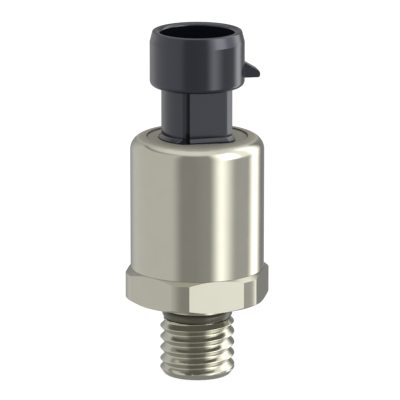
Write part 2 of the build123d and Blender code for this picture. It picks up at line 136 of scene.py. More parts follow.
# Collar, bore and latch ramp
COLLAR = 8.307 * MM
COLLAR_BOTTOM = 51.94 * MM
COLLAR_TOP = 61.7 * MM
COLLAR_TAPER = 59.74 * MM
COLLAR_RIM = 7.815 * MM
COLLAR_BOTTOM_ROUND = 0.94 * MM
COLLAR_RIM_ROUND = 0.3 * MM
COLLAR_TAPER_ROUND = 0.5 * MM
BORE = 6.5 * MM
LIP_WIDTH = 0.85 * MM
LIP_HEIGHT = 0.52 * MM
LIP_LIFT = 0.002 * MM
LIP_STEP = radians(7.5)
LIP_STEPS = 12
BORE_FLOOR = 52.8 * MM
WELL = 4.2 * MM
WELL_FLOOR = 46.5 * MM
KEY_WIDTH = 1.6 * MM
KEY_DEPTH = 0.7 * MM
KEY_TOP = 56.9 * MM
KEY_SINK = 0.1 * MM
LATCH_WIDTH = 3.0 * MM
LATCH_REACH = 10.94 * MM
LATCH_UNDER = 53.23 * MM
LATCH_ROOT = 55.89 * MM
LATCH_NOSE = 1.1 * MM
LATCH_TIP_ROUND = 0.45 * MM
LATCH_CROWN_ROUND = 0.8 * MM
LATCH_EDGE_ROUND = 0.12 * MM

# Flange and skirt of the socket, hidden in the can
FLANGE = 10.767 * MM
FLANGE_BOTTOM = 37.5 * MM
SKIRT_BOTTOM = 29.32 * MM
SKIRT_WALL = 1.0 * MM
FLANGE_ROUND = 1.9 * MM
WINDOW_WIDTH = 4.0 * MM
WINDOW_HEIGHT = 3.6 * MM
SEAL_MIDDLE = 8.55 * MM
SEAL_WIDTH = 1.1 * MM
SEAL_HEIGHT = 1.0 * MM
SEAL_GAP = 0.05 * MM
TERMINALS = ("supply_terminal", "signal_terminal", "ground_terminal")
TERMINAL_HALF = 0.77 * MM
TERMINAL_GAP = 0.02 * MM

# Meshes: steps of a full turn and of each kind of round, angles in degrees up to which a surface
# shades smooth, how far a cut reaches past what it cuts, and the slack of welds and of crossings
AROUND = 288
ROUND_STEPS = 8
FINE_ROUND_STEPS = 12
CAN_STEPS = 14
CAN_INSIDE_STEPS = 6
CREST_STEPS = 6
FLAT_STEPS = 22
HEX_CORNER_STEPS = 8
NECK_EDGE_STEPS = 6
BARREL_STEPS = 48
RING_STEPS = 48
BEVEL_STEPS = 3
BEVEL_ABOVE = 40
SMOOTH_TO = 25
PORT_SMOOTH_TO = 17
CAN_SMOOTH_TO = 28
SOCKET_SMOOTH_TO = 28
RING_SMOOTH_TO = 60
CUT_MARGIN = 1 * MM
WELD = 0.0005 * MM
PARALLEL = 1e-12
EDGE_SLACK = 1e-9

# Finishes, as linear colours
WHITE = (1.0, 1.0, 1.0)
STEEL = (0.41, 0.4, 0.335)
LAND_GREY = (0.3, 0.29, 0.23)
SOCKET_BLACK = (0.006, 0.0065, 0.011)
SOCKET_SHEEN = (0.87, 0.89, 1.0)
RUBBER_OLIVE = (0.078, 0.07, 0.046)
BOARD_GREEN = (0.02, 0.13, 0.05)
TRACK_GREEN = (0.05, 0.24, 0.09)
TRACK_DEPTH = 0.01 * MM
WEAVE_SCALE = 2600.0

# How steel and other stuffs vary: scales of their noises, and shares or gains of what these move
HAZE_SCALE = 260.0
HAZE_SHADE = 0.02
HAZE_ROUGHNESS = (0.85, 1.25)
STREAK_ROUGHNESS = (-0.02, 0.03)
STEEL_GRAIN_SCALE = 9000.0
STEEL_GRAIN_SHARE = 0.35
LINE_SLANT = 0.8
LINE_WANDER = 0.00004
CLOUD_SCALE = 330.0
CLOUD_SHARE = 0.6
CLOUD_ROUGHNESS = (0.9, 1.12)

# Plain finishes: colour, roughness, scale and depth in millimetres of the grain, how far the
# colour wanders, and 1 for metal
FINISHES = {
    "olive_rubber": (RUBBER_OLIVE, 0.3, 6000.0, 0.001, 0.06, 0.0),
    "alumina": ((0.83, 0.81, 0.76), 0.45, 9000.0, 0.004, 0.03, 0.0),
    "bond_glass": ((0.09, 0.13, 0.17), 0.18, 4000.0, 0.001, 0.06, 0.0),
    "tinned_wire": ((0.66, 0.66, 0.66), 0.3, 7000.0, 0.002, 0.05, 1.0),
    "natural_plastic": ((0.74, 0.69, 0.58), 0.42, 5000.0, 0.004, 0.06, 0.0),
    "spring_steel": ((0.3, 0.31, 0.34), 0.32, 6000.0, 0.002, 0.05, 1.0),
    "spring_bronze": ((0.72, 0.5, 0.3), 0.25, 6000.0, 0.002, 0.05, 1.0),
    "chip_black": ((0.022, 0.022, 0.024), 0.5, 8000.0, 0.006, 0.06, 0.0),
    "capacitor_tan": ((0.42, 0.29, 0.17), 0.45, 7000.0, 0.003, 0.06, 0.0),
    "resistor_white": ((0.7, 0.71, 0.72), 0.4, 7000.0, 0.003, 0.06, 0.0),
    "tinned_terminal": ((0.68, 0.67, 0.64), 0.24, 6000.0, 0.002, 0.05, 1.0),
}

# Finish of each node that keeps its CAD mesh
NODE_FINISHES = {
    "cell_seal": "olive_rubber",
    "connector_seal": "olive_rubber",
    "ceramic_diaphragm": "alumina",
    "ceramic_cell_body": "alumina",
    "glass_bond_ring": "bond_glass",
    "cell_leads": "tinned_wire",
    "cell_support_ring": "natural_plastic",
    "board_carrier": "natural_plastic",
    "cell_circlip": "spring_steel",
    "ground_spring": "spring_bronze",
    "circuit_board": "board_green",
    "signal_chip": "chip_black",
    "voltage_regulator": "chip_black",
    "board_capacitors": "capacitor_tan",
    "board_resistors": "resistor_white",
    "supply_terminal": "tinned_terminal",
    "signal_terminal": "tinned_terminal",
    "ground_terminal": "tinned_terminal",
}

# Studio: white walls with soft boxes and screens in front of them. Each has its brightness, then
# where its left and right edges start and end in degrees round from the camera, then its lower
# and upper edges in degrees up, and the degrees that it climbs for each degree round. Edges that
# lie past the whole room leave that side open.
PLAIN_LEVEL = 1.0
WALL_GLOW = 1.03
OPEN_LEFT = (-200, -190)
OPEN_RIGHT = (190, 200)
OPEN_BELOW = (-120, -100)
OPEN_ABOVE = (100, 120)
LIGHTS = [
    ("grey screen on the right", 0.76, (30, 36), (170, 176), OPEN_BELOW, OPEN_ABOVE, 0.0),
    ("wide soft box high on the right", 1.95, (52, 76), (146, 172), (-3, 11), (58, 70), 0.0),
    ("screen behind the camera", 0.5, (-46, -24), (40, 60), OPEN_BELOW, (46, 60), 0.0),
    ("brighter half of that screen", 0.58, (-8, 18), (40, 60), OPEN_BELOW, (46, 60), 0.0),
    ("first tall soft box", 2.75, (20, 45), (38, 72), OPEN_BELOW, (56, 70), 0.0),
    ("bright core of that soft box", 4.5, (40, 52), (64, 86), (0, 12), (44, 60), 0.0),
    ("second tall soft box", 3.1, (96, 116), (118, 138), OPEN_BELOW, (50, 62), 0.0),
    ("screen at the back, right", 0.36, (130, 146), OPEN_RIGHT, OPEN_BELOW, (29, 44), 0.0),
    ("screen at the back, left", 0.32, OPEN_LEFT, (-174, -126), OPEN_BELOW, (28, 40), 0.0),
    ("dark edge of the left wall", 0.5, (-158, -148), (-47, -41), (56, 58), (63, 65), 0.176),
    ("ceiling", 1.46, OPEN_LEFT, OPEN_RIGHT, (41, 66), OPEN_ABOVE, 0.0),
    ("dark ground", 0.5, OPEN_LEFT, OPEN_RIGHT, OPEN_BELOW, (-38, -30), 0.0),
]

# Floor: white to the camera apart from a faint shadow, and pale to what it lights
FLOOR_SIZE = 4.0
FLOOR_GLOW = 0.86
FLOOR_SHADOW_SHARE = 0.25
FLOOR_ALBEDO = 0.8


def arc_corner(before, corner, after, radius, steps):
    """Points of a round of the given radius between two straight runs."""
    into = (Vector(before) - Vector(corner)).normalized()
    out = (Vector(after) - Vector(corner)).normalized()
    half = into.angle(out) / 2
    reach = radius / tan(half)
    centre = Vector(corner) + (into + out).normalized() * (radius / sin(half))
    start = Vector(corner) + into * reach - centre
    end = Vector(corner) + out * reach - centre
    sweep = start.angle(end)
    points = []
    for index in range(steps + 1):
        share = index / steps
        first = sin((1 - share) * sweep) / sin(sweep)
        second = sin(share * sweep) / sin(sweep)
        points.append(tuple(centre + start * first + end * second))
    return points


def rounded(corners, closed=True, steps=ROUND_STEPS):
    """An outline from (x, y) or (x, y, radius) corners, the latter rounded."""
    points = []
    count = len(corners)
    for index, corner in enumerate(corners):
        inner = closed or 0 < index < count - 1
        if len(corner) == 3 and corner[2] > 0 and inner:
            before = corners[index - 1][:2]
            after = corners[(index + 1) % count][:2]
            points += arc_corner(before, corner[:2], after, corner[2], steps)
        else:
            points.append(tuple(corner[:2]))
    return points


def mesh_object(name, vertices, faces, smooth_to=SMOOTH_TO):
    """A new object from vertices and faces, welded, and smooth up to an angle in degrees."""
    mesh = bpy.data.meshes.new(name)
    mesh.from_pydata(vertices, [], faces)
    work = bmesh.new()
    work.from_mesh(mesh)
    bmesh.ops.remove_doubles(work, verts=work.verts, dist=WELD)
    bmesh.ops.dissolve_degenerate(work, edges=work.edges, dist=WELD)
    loose = [edge for edge in work.edges if not edge.link_faces]
    bmesh.ops.delete(work, geom=loose, context="EDGES")
    bmesh.ops.recalc_face_normals(work, faces=work.faces)
    work.to_mesh(mesh)
    work.free()
    mesh.shade_smooth()
    mesh.set_sharp_from_angle(angle=radians(smooth_to))
    piece = bpy.data.objects.new(name, mesh)
    bpy.context.scene.collection.objects.link(piece)
    return piece


def grid_object(name, columns, smooth_to):
    """A closed piece from columns of points: each is a loop in one half-plane through the axis."""
    rows = len(columns[0])
    vertices = [point for column in columns for point in column]
    faces = []
    for column in range(len(columns) - 1):
        for row in range(rows):
            above = (row + 1) % rows
            low = column * rows
            high = low + rows
            faces.append((low + row, high + row, high + above, low + above))
    return mesh_object(name, vertices, faces, smooth_to)


def swept(name, angles, section, smooth_to=SMOOTH_TO):
    """Turn section(angle), a closed loop of (radius, height), through the angles."""
    columns = []
    for angle in angles:
        columns.append([(r * cos(angle), r * sin(angle), z) for r, z in section(angle)])
    return grid_object(name, columns, smooth_to)


def turn():
    """Evenly spaced angles for one full turn, both ends included."""
    return [2 * pi * index / AROUND for index in range(AROUND + 1)]


def lathe(name, corners, steps=ROUND_STEPS):
    """A turned piece from a closed loop of (radius, height) or (radius, height, round) corners."""
    loop = rounded(corners, steps=steps)
    return swept(name, turn(), lambda angle: loop)


def prism(name, levels):
    """A closed piece from outlines of equally many points, each with its height."""
    count = len(levels[0][0])
    vertices = [(x, y, z) for outline, z in levels for x, y in outline]
    faces = [tuple(reversed(range(count)))]
    for level in range(len(levels) - 1):
        low = level * count
        for index in range(count):
            after = (index + 1) % count
            faces.append((low + index, low + after, low + count + after, low + count + index))
    top = (len(levels) - 1) * count
    faces.append(tuple(top + index for index in range(count)))
    return mesh_object(name, vertices, faces)


def apply_modifiers(piece):
    """Keep the mesh that the modifiers of a piece make, and drop the modifiers."""
    bpy.context.view_layer.update()
    shown = piece.evaluated_get(bpy.context.evaluated_depsgraph_get())
    shape = bpy.data.meshes.new_from_object(shown)
    piece.modifiers.clear()
    piece.data = shape


def combine(base, tool, operation):
    """Join or cut base with tool, which is then removed."""
    step = base.modifiers.new("combine", "BOOLEAN")
    step.operation = operation
    step.solver = "EXACT"
    step.object = tool
    apply_modifiers(base)
    bpy.data.objects.remove(tool)


def hex_radius(angle):
    """Distance from the axis to the hexagon's outline, with its turned corners."""
    side = radians(60)
    off = (angle - HEX_TURN + radians(90)) % side
    off = min(off, side - off)
    return min(HEX_CORNER, HEX_APOTHEM / cos(off))


def hex_angles():
    """Angles for one turn, with an edge wherever a flat meets a turned corner."""
    half_flat = acos(HEX_APOTHEM / HEX_CORNER)
    half_corner = radians(30) - half_flat
    flat = [2 * half_flat * index / FLAT_STEPS for index in range(FLAT_STEPS)]
    corner = [2 * half_corner * index / HEX_CORNER_STEPS for index in range(HEX_CORNER_STEPS)]
    angles = []
    for face in range(6):
        start = HEX_TURN + radians(60 * face + 30) - half_flat
        angles += [start + step for step in flat]
        start += 2 * half_flat
        angles += [start + step for step in corner]
    return angles + [angles[0] + 2 * pi]


def tooth_outline():
    """One tooth of the thread as (height from the crest, radius), from root to root."""
    flank = atan2(THREAD_PITCH / 2, THREAD_CREST - THREAD_ROOT)
    crest_r = THREAD_CREST + CREST_ROUND * (1 / sin(flank) - 1)
    root_r = THREAD_ROOT - ROOT_ROUND * (1 / sin(flank) - 1)
    root = (-0.5 * THREAD_PITCH, root_r)
    next_root = (0.5 * THREAD_PITCH, root_r)
    far_left = (-THREAD_PITCH, crest_r)
    crest = (0.0, crest_r)
    far_right = (THREAD_PITCH, crest_r)
    half = ROUND_STEPS // 2
    left = arc_corner(far_left, root, crest, ROOT_ROUND, ROUND_STEPS)[half:]
    top = arc_corner(root, crest, next_root, CREST_ROUND, CREST_STEPS)
    right = arc_corner(crest, next_root, far_right, ROOT_ROUND, ROUND_STEPS)[:half]
    shares = (0.25, 0.5, 0.75)
    near_flank = [tuple(Vector(left[-1]).lerp(Vector(top[0]), share)) for share in shares]
    far_flank = [tuple(Vector(top[-1]).lerp(Vector(right[0]), share)) for share in shares]
    return left + near_flank + top + far_flank + right


def thread_radius(height, lift, tooth):
    """Radius of the endless thread at a height, for a crest that stands at the lift."""
    offset = (height - lift + THREAD_PITCH / 2) % THREAD_PITCH - THREAD_PITCH / 2
    for (low, low_radius), (high, high_radius) in zip(tooth, tooth[1:]):
        if low <= offset <= high:
            share = (offset - low) / (high - low)
            return low_radius + share * (high_radius - low_radius)
    return tooth[0][1]


def thread_column(angle, tooth):
    """The stud's outline at one angle, from the gland down to the end face."""
    turns = ceil(THREAD_END / THREAD_PITCH) + 2
    lift = (angle / (2 * pi) - FIRST_CREST_TURN) * THREAD_PITCH
    points = []
    for index in range(turns, -2, -1):
        for offset, radius in reversed(tooth):
            height = index * THREAD_PITCH + lift + offset
            if not LEAD_IN < height < THREAD_END:
                height = min(max(height, LEAD_IN), THREAD_END)
                radius = thread_radius(height, lift, tooth)
            run_in = THREAD_CREST - (height - LEAD_IN) * RUN_IN_SLOPE
            apart = sqrt((radius - run_in)**2 + RUN_IN_BLEND**2)
            groove = (radius + run_in + apart) / 2
            run_out = THREAD_CREST - (height - THREAD_END + THREAD_RUN_OUT)
            points.append((min(groove, THREAD_CREST, run_out), height))
    return points + [(END_FACE, 0.0)]


def build_port():
    """Port in one piece: thread, gland, hexagon, spigot, cup and inlet."""
    tooth = tooth_outline()
    inside = [
        (INLET, CUP_FLOOR - CUP_RECESS_DEPTH),
        (CUP_RECESS, CUP_FLOOR - CUP_RECESS_DEPTH),
        (CUP_RECESS, CUP_FLOOR),
        (CUP, CUP_FLOOR),
        (CUP, SPIGOT_TOP),
        (SPIGOT, SPIGOT_TOP),
        (SPIGOT, HEX_TOP),
        (CAN, HEX_TOP),
    ]
    gland = [
        (STUD_SHOULDER, HEX_BOTTOM),
        (STUD_SHOULDER, GLAND_TOP),
        (GLAND_FLOOR, GLAND_TOP),
        (GLAND_FLOOR, THREAD_END),
    ]
    inlet = [(INLET_MOUTH, 0.0), (INLET, INLET_MOUTH_DEPTH)]

    def section(angle):
        reach = hex_radius(angle)
        drop = (reach - CAN) * tan(HEX_CHAMFER)
        sides = [(reach, HEX_TOP - drop), (reach, HEX_BOTTOM + drop), (CAN, HEX_BOTTOM)]
        return inside + sides + gland + thread_column(angle, tooth) + inlet

    return swept("port", hex_angles(), section, PORT_SMOOTH_TO)


def outline_reach(outline, angle):
    """Where a ray from the axis at this angle leaves an outline."""
    ray = Vector((cos(angle), sin(angle)))
    best = 0.0
    for index, start in enumerate(outline):
        end = outline[(index + 1) % len(outline)]
        a = Vector(start)
        along = Vector(end) - a
        cross = ray.x * along.y - ray.y * along.x
        if abs(cross) < PARALLEL:
            continue
        share = (a.x * ray.y - a.y * ray.x) / cross
        reach = (a.x * along.y - a.y * along.x) / cross
        if -EDGE_SLACK <= share <= 1 + EDGE_SLACK:
            best = max(best, reach)
    return best


def square_half(square_x, flat_y, corner, back_x):
    """The +X half of an outline: square, with two rounded corners."""
    return rounded([
        (back_x, -flat_y),
        (square_x, -flat_y, corner),
        (square_x, flat_y, corner),
        (back_x, flat_y),
    ], steps=FINE_ROUND_STEPS)


def neck_half(wider):
    """The neck's outline in front of the slots: flats that close towards a chamfered side."""
    side = NECK_SQUARE + wider
    near = side - NECK_CHAMFER
    back_y = NECK_FLAT + wider + (NECK_MIDDLE - SLOT_X) * tan(NECK_CLOSING)
    near_y = NECK_FLAT + wider - (near - NECK_MIDDLE) * tan(NECK_CLOSING)
    side_y = near_y - NECK_CHAMFER
    return rounded([
        (SLOT_X, -back_y),
        (near, -near_y, NECK_EDGE_ROUND),
        (side, -side_y, NECK_EDGE_ROUND),
        (side, side_y, NECK_EDGE_ROUND),
        (near, near_y, NECK_EDGE_ROUND),
        (SLOT_X, back_y),
    ], steps=NECK_EDGE_STEPS)


def barrel_half(radius, flat_y):
    """The -X half of an outline: round, cut by the two flats."""
    start = pi - atan2(flat_y, sqrt(radius**2 - flat_y**2))
    points = [(0.0, flat_y)]
    for index in range(BARREL_STEPS + 1):
        angle = start + (2 * pi - 2 * start) * index / BARREL_STEPS
        points.append((radius * cos(angle), radius * sin(angle)))
    return points + [(0.0, -flat_y)]


def foot_outline(gap):
    """The whole foot's outline, which is the hole in the can with a gap."""
    flat = FOOT_FLAT + gap
    barrel = barrel_half(FOOT_RING + gap, flat)
    square = square_half(FOOT_SQUARE + gap, flat, FOOT_CORNER + gap, 0.0)
    return barrel[1:-1] + square[1:-1]


def build_can():
    """Drawn can with a rounded shoulder, a step and the keyed hole."""
    hole = foot_outline(HOLE_GAP)
    outer = rounded([
        (CAN - CAN_WALL, HEX_TOP),
        (CAN, HEX_TOP, CAN_FOOT_ROUND),
        (CAN, CAN_TOP, CAN_SHOULDER),
        (CAN_STEP, CAN_TOP, CAN_STEP_ROUND),
        (CAN_STEP, CAN_TOP - CAN_STEP_DEPTH),
    ], closed=False, steps=CAN_STEPS)
    inner = rounded([
        (INLET, CAN_TOP - CAN_WALL),
        (CAN - CAN_WALL, CAN_TOP - CAN_WALL, CAN_SHOULDER - CAN_WALL),
        (CAN - CAN_WALL, HEX_TOP),
    ], closed=False, steps=CAN_INSIDE_STEPS)[1:-1]

    def section(angle):
        reach = outline_reach(hole, angle)
        mouth = [(reach, CAN_TOP - CAN_STEP_DEPTH), (reach, CAN_TOP - CAN_WALL)]
        return outer + mouth + inner

    return swept("can", turn(), section, CAN_SMOOTH_TO)


def upright_slab(name, left, right, near, far, low, high):
    """A box between two places along X, two along Y and two heights."""
    outline = [(left, near), (right, near), (right, far), (left, far)]
    return prism(name, [(outline, low), (outline, high)])


def build_neck():
    """Foot and neck of the socket, with their rounded root and the two slots."""
    back_x = -sqrt(NECK_BARREL**2 - NECK_FLAT**2)
    start_z = CAN_TOP - CAN_WALL
    plinth = square_half(FOOT_SQUARE, FOOT_FLAT, FOOT_CORNER, back_x)
    ring = barrel_half(FOOT_RING, FOOT_FLAT)
    foot = barrel_half(FOOT_RING, NECK_FLAT)
    square_levels = []
    barrel_levels = [(foot, start_z), (foot, FOOT_TOP)]
    flare = rounded([
        (FLARE, FOOT_TOP),
        (0, FLARE_TOP, FLARE_ROUND),
        (0, COLLAR_BOTTOM + NECK_OVERLAP),
    ], closed=False)
    for wider, height in flare:
        square_levels.append((neck_half(wider), height))
        barrel_levels.append((barrel_half(NECK_BARREL + wider, NECK_FLAT), height))
    neck = prism("socket", [(plinth, start_z), (plinth, FOOT_TOP)])
    combine(neck, prism("square", square_levels), "UNION")
    combine(neck, prism("ring_foot", [(ring, start_z), (ring, FOOT_TOP)]), "UNION")
    combine(neck, prism("barrel", barrel_levels), "UNION")
    left = SLOT_X - SLOT_WIDTH / 2
    right = SLOT_X + SLOT_WIDTH / 2
    for side in (-1, 1):
        floor_y = side * (NECK_FLAT - SLOT_DEPTH)
        mouth_y = side * (FOOT_FLAT + CUT_MARGIN)
        slot = upright_slab("slot", left, right, floor_y, mouth_y,
                            CAN_TOP - CAN_STEP_DEPTH, COLLAR_BOTTOM)
        combine(neck, slot, "DIFFERENCE")
    return neck


def build_collar():
    """Collar with its bottom round and its tapered rim, still solid inside."""
    return lathe("collar", [
        (0, COLLAR_BOTTOM),
        (COLLAR, COLLAR_BOTTOM, COLLAR_BOTTOM_ROUND),
        (COLLAR, COLLAR_TAPER, COLLAR_TAPER_ROUND),
        (COLLAR_RIM, COLLAR_TOP, COLLAR_RIM_ROUND),
        (0, COLLAR_TOP),
    ], steps=FINE_ROUND_STEPS)


def soften(piece, width):
    """Bevel the sharp edges of a piece."""
    step = piece.modifiers.new("soften", "BEVEL")
    step.width = width
    step.segments = BEVEL_STEPS
    step.limit_method = "ANGLE"
    step.angle_limit = radians(BEVEL_ABOVE)
    apply_modifiers(piece)


def build_ramp():
    """Latch ramp with a round nose and softened side edges, drawn flat and then stood up."""
    root = (BORE + COLLAR) / 2
    outline = rounded([
        (root, LATCH_UNDER),
        (LATCH_REACH, LATCH_UNDER, LATCH_TIP_ROUND),
        (LATCH_REACH, LATCH_UNDER + LATCH_NOSE, LATCH_CROWN_ROUND),
        (COLLAR, LATCH_ROOT),
        (root, LATCH_ROOT),
    ])
    ramp = prism("ramp", [(outline, -LATCH_WIDTH / 2), (outline, LATCH_WIDTH / 2)])
    for vertex in ramp.data.vertices:
        x, z, y = vertex.co
        vertex.co = (x, y, z)
    ramp.data.flip_normals()
    soften(ramp, LATCH_EDGE_ROUND)
    return ramp


def build_inside():
    """Flange and skirt of the socket, hidden in the can."""
    flange_gap = SEAL_WIDTH / 2 + SEAL_GAP
    roof = CAN_TOP - CAN_WALL
    inside = lathe("inside", [
        (0, FLANGE_BOTTOM),
        (FLANGE - SKIRT_WALL, FLANGE_BOTTOM),
        (FLANGE - SKIRT_WALL, SKIRT_BOTTOM),
        (FLANGE, SKIRT_BOTTOM),
        (FLANGE, roof, FLANGE_ROUND),
        (SEAL_MIDDLE + flange_gap, roof),
        (SEAL_MIDDLE + flange_gap, roof - SEAL_HEIGHT),
        (SEAL_MIDDLE - flange_gap, roof - SEAL_HEIGHT),
        (SEAL_MIDDLE - flange_gap, roof),
        (0, roof),
    ])
    half = WINDOW_WIDTH / 2
    reach = 2 * FLANGE
    window = upright_slab("window", -half, half, -reach, reach,
                          SKIRT_BOTTOM - CUT_MARGIN, SKIRT_BOTTOM + WINDOW_HEIGHT)
    combine(inside, window, "DIFFERENCE")
    return inside


def cut_bore(socket):
    """Cut the bore with its rounded lip, and the well below it."""
    lip = []
    for part in range(LIP_STEPS):
        angle = part * LIP_STEP
        reach = BORE + LIP_WIDTH * (1 - cos(angle))
        lip.append((reach, COLLAR_TOP - LIP_HEIGHT * (1 - sin(angle))))
    bore = lathe("bore", [
        (0, WELL_FLOOR),
        (WELL, WELL_FLOOR),
        (WELL, BORE_FLOOR),
        (BORE, BORE_FLOOR),
        *lip,
        (BORE + LIP_WIDTH, COLLAR_TOP + LIP_LIFT),
        (BORE + LIP_WIDTH, COLLAR_TOP + LIP_HEIGHT),
        (0, COLLAR_TOP + LIP_HEIGHT),
    ])
    combine(socket, bore, "DIFFERENCE")


def build_socket():
    """Socket moulding in one piece, from the skirt in the can to the collar's rim."""
    socket = build_neck()
    combine(socket, build_inside(), "UNION")
    combine(socket, build_collar(), "UNION")
    combine(socket, build_ramp(), "UNION")
    cut_bore(socket)
    key = upright_slab("key", -(BORE + COLLAR) / 2, KEY_DEPTH - BORE, -KEY_WIDTH / 2,
                       KEY_WIDTH / 2, BORE_FLOOR - KEY_SINK, KEY_TOP)
    combine(socket, key, "UNION")
    for name in TERMINALS:
        low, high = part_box(name)
        middle = (low.y + high.y) / 2
        slot = upright_slab("slot", low.x - TERMINAL_GAP, high.x + TERMINAL_GAP,
                            middle - TERMINAL_HALF, middle + TERMINAL_HALF,
                            FLANGE_BOTTOM - CUT_MARGIN, WELL_FLOOR + CUT_MARGIN)
        combine(socket, slot, "DIFFERENCE")
    socket.data.set_sharp_from_angle(angle=radians(SOCKET_SMOOTH_TO))
    even = socket.modifiers.new("even", "WEIGHTED_NORMAL")
    even.weight = 100
    even.keep_sharp = True
    apply_modifiers(socket)
    return socket


def build_ring():
    """Round rubber ring on the floor of the gland."""
    middle = STUD_SHOULDER - RING_SECTION
    height = (THREAD_END + GLAND_TOP) / 2
    around = [2 * pi * index / RING_STEPS for index in range(RING_STEPS)]
    loop = [
        (middle + RING_SECTION * cos(part), height + RING_SECTION * sin(part))
        for part in around
    ]
    return swept("o_ring", turn(), lambda angle: loop, RING_SMOOTH_TO)


def link_node(tree, kind, inputs=None, **settings):
    """A new shader node with its settings, its constants set and its links made."""
    made = tree.nodes.new(kind)
    for key, value in settings.items():
        setattr(made, key, value)
    for key, value in (inputs or {}).items():
        if isinstance(value, bpy.types.NodeSocket):
            tree.links.new(value, made.inputs[key])
        else:
            made.inputs[key].default_value = value
    return made


def maths(tree, operation, first, second=0.0, clamp=False):
    """The result of one sum on sockets or numbers."""
    made = link_node(tree, "ShaderNodeMath", {0: first, 1: second}, operation=operation)
    made.use_clamp = clamp
    return made.outputs[0]


def place(tree):
    """Coordinates of the surface in the object's own frame."""
    return link_node(tree, "ShaderNodeTexCoord").outputs["Object"]


def noise(tree, vector, scale, detail=4.0, roughness=0.55):
    """Value of a noise whose features are about 1 / scale metres wide."""
    made = link_node(tree, "ShaderNodeTexNoise", {
        "Vector": vector,
        "Scale": scale,
        "Detail": detail,
        "Roughness": roughness,
    })
    return made.outputs[0]


def spread(tree, value, low, high):
    """The middle of a noise's range, stretched to low and high."""
    made = link_node(tree, "ShaderNodeMapRange", {
        "Value": value,
        "From Min": 0.3,
        "From Max": 0.7,
        "To Min": low,
        "To Max": high,
    })
    return made.outputs[0]


def step_up(tree, value, start, end):
    """0 below the start, 1 above the end, with a smooth rise between them."""
    made = link_node(tree, "ShaderNodeMapRange", {
        "Value": value,
        "From Min": start,
        "From Max": end,
    }, interpolation_type="SMOOTHSTEP")
    return made.outputs[0]


def step_down(tree, value, start, end):
    """1 below the start, 0 above the end, with a smooth fall between them."""
    return maths(tree, "SUBTRACT", 1.0, step_up(tree, value, start, end))


def between(tree, value, start, end):
    """1 where the value lies inside two soft edges, 0 outside them."""
    return maths(tree, "MULTIPLY", step_up(tree, value, *start), step_down(tree, value, *end))


def blend_colours(tree, share, first, second):
    """Two colours mixed by a share from 0 to 1."""
    made = link_node(tree, "ShaderNodeMix", {0: share, 6: first, 7: second}, data_type="RGBA")
    return made.outputs[2]


def full(colour, gain=1.0):
    """A colour with its alpha, brightened or darkened by the gain."""
    return (colour[0] * gain, colour[1] * gain, colour[2] * gain, 1.0)


def new_material(name, **constants):
    """A material with its main shader, and that shader's constants set."""
    material = bpy.data.materials.new(name)
    material.use_nodes = True
    tree = material.node_tree
    shader = tree.nodes["Principled BSDF"]
    for key, value in constants.items():
        shader.inputs[key.replace("_", " ")].default_value = value
    return material, tree, shader


def round_place(tree):
    """Distance from the axis, height, and angle round the axis of the surface."""
    parts = link_node(tree, "ShaderNodeSeparateXYZ", {0: place(tree)})
    across = maths(tree, "POWER", parts.outputs[0], 2.0)
    along = maths(tree, "POWER", parts.outputs[1], 2.0)
    radius = maths(tree, "SQRT", maths(tree, "ADD", across, along))
    angle = maths(tree, "ARCTAN2", parts.outputs[0], parts.outputs[1])
    return radius, parts.outputs[2], angle


def turning_lines(tree):
    """Coordinates along the radius and the height, as a cutting tool leaves its lines."""
    radius, height, angle = round_place(tree)
    path = maths(tree, "ADD", maths(tree, "MULTIPLY", radius, LINE_SLANT), height)
    line = link_node(tree, "ShaderNodeCombineXYZ", {
        0: path,
        1: maths(tree, "MULTIPLY", angle, LINE_WANDER),
    })
    return line.outputs[0]


def add_relief(tree, shader, height, depth, strength=1.0):
    """Give a shader bumps that follow a height and are this deep."""
    relief = link_node(tree, "ShaderNodeBump", {
        "Height": height,
        "Distance": depth,
        "Strength": strength,
    })
    tree.links.new(relief.outputs[0], shader.inputs["Normal"])


def matt_land(tree, shade, rough):
    """Colour, roughness and metal share of the can's steel: grey and matt round the step, with
    painted shade in the step's corner.
    """
    radius = round_place(tree)[0]
    grey = step_down(tree, radius, LAND_EDGE, LAND_END)
    matt = step_down(tree, radius, LAND_MATT_EDGE, LAND_MATT_END)
    # Painted shade: a thin ring in the step's recess and on its rounded edge is darkened
    corner = between(tree, radius, (CAN_STEP - LAND_SHADE_WIDTH, CAN_STEP - LAND_SHADE_GAP),
                     (CAN_STEP + CAN_STEP_ROUND / 2, CAN_STEP + CAN_STEP_ROUND))
    shade = blend_colours(tree, grey, shade, full(LAND_GREY))
    shade = blend_colours(tree, corner, shade, full(LAND_GREY, LAND_PAINTED_SHADE))
    rough = maths(tree, "MAXIMUM", rough, maths(tree, "MULTIPLY", matt, LAND_ROUGHNESS))
    metal = maths(tree, "SUBTRACT", 1.0, maths(tree, "MULTIPLY", matt, LAND_MATT_SHARE))
    return shade, rough, metal


def steel(name, roughness, line_scale, line_depth, land=False):
    """Bright stainless steel with fine turning lines and a little handling haze."""
    material, tree, shader = new_material(
        name, Metallic=1.0, Anisotropic=0.0, Coat_Weight=0.0, Sheen_Weight=0.0, IOR=1.5,
    )
    where = place(tree)
    haze = noise(tree, where, HAZE_SCALE, detail=5.0)
    lines = noise(tree, turning_lines(tree), line_scale, detail=2.0)
    grain = noise(tree, where, STEEL_GRAIN_SCALE, detail=2.0)
    shade = blend_colours(tree, spread(tree, haze, 0.0, 1.0), full(STEEL, 1 - HAZE_SHADE),
                          full(STEEL, 1 + HAZE_SHADE))
    smoother, rougher = HAZE_ROUGHNESS
    rough = spread(tree, haze, roughness * smoother, roughness * rougher)
    rough = maths(tree, "ADD", rough, spread(tree, lines, *STREAK_ROUGHNESS))
    if land:
        shade, rough, metal = matt_land(tree, shade, rough)
        tree.links.new(metal, shader.inputs["Metallic"])
    tree.links.new(shade, shader.inputs["Base Color"])
    tree.links.new(rough, shader.inputs["Roughness"])
    height = maths(tree, "ADD", lines, maths(tree, "MULTIPLY", grain, STEEL_GRAIN_SHARE))
    add_relief(tree, shader, height, line_depth)
    return material


